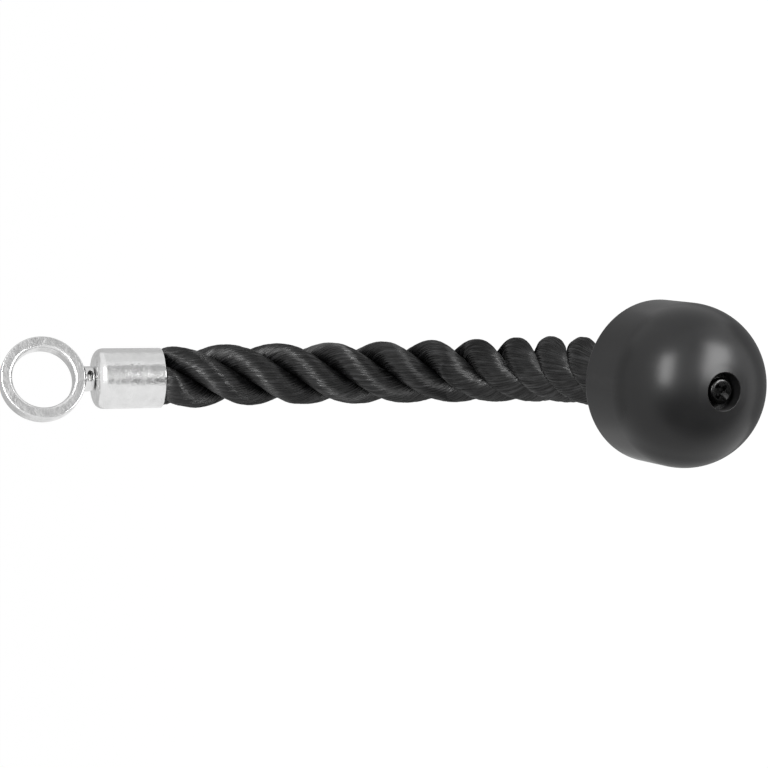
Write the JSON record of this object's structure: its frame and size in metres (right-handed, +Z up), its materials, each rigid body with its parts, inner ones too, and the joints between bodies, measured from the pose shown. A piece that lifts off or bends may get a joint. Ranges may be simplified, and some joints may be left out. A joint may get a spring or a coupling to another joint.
{
  "type": "triceps rope attachment",
  "caption": "Cable machine rope for one hand: swivelling steel eye, pressed steel cap, three-strand laid rope and a ball grip with a sunk screw",
  "frame": {"origin": "centre of the eye ring, which the machine's carabiner holds up", "axes": "+Z up, along the axis of the end cap and swivel bolt; Y through the ring's hole; the rope hangs along -Z and curls towards -Y"},
  "size_m": [0.1176, 0.2532, 0.2865],
  "materials": {
    "plated_steel": "plated, soft gloss",
    "zinc_steel": "zinc, satin",
    "rope_black": "twisted synthetic yarn, slight sheen",
    "ball_plastic": "moulded, satin",
    "blacked_steel": "black oxide"
  },
  "bodies": {
    "eye": {"eye_ring": "plated_steel", "eye_boss": "plated_steel", "swivel_bolt": "zinc_steel"},
    "cap": {"end_cap": "plated_steel", "swivel_washer": "zinc_steel", "top_seal": "rope_black", "strand_1": "rope_black", "strand_2": "rope_black", "strand_3": "rope_black"},
    "ball": {"ball_grip": "ball_plastic", "screw_washer": "blacked_steel", "ball_screw": "blacked_steel", "low_seal": "rope_black"}
  },
  "joints": [
    {"name": "eye_swivel", "type": "hinge", "parent": "eye", "child": "cap", "pos_m": [0, 0, -0.0245], "axis": [0, 0, 1], "continuous": true},
    {"name": "rope_bend", "type": "hinge", "parent": "cap", "child": "ball", "pos_m": [-0.0072, -0.0229, -0.185], "axis": [-0.9537, 0.3007, 0], "range_deg": [-80, 35], "stiffness_Nm_per_rad": 0.3, "deforming": ["strand_1", "strand_2", "strand_3"]}
  ]
}
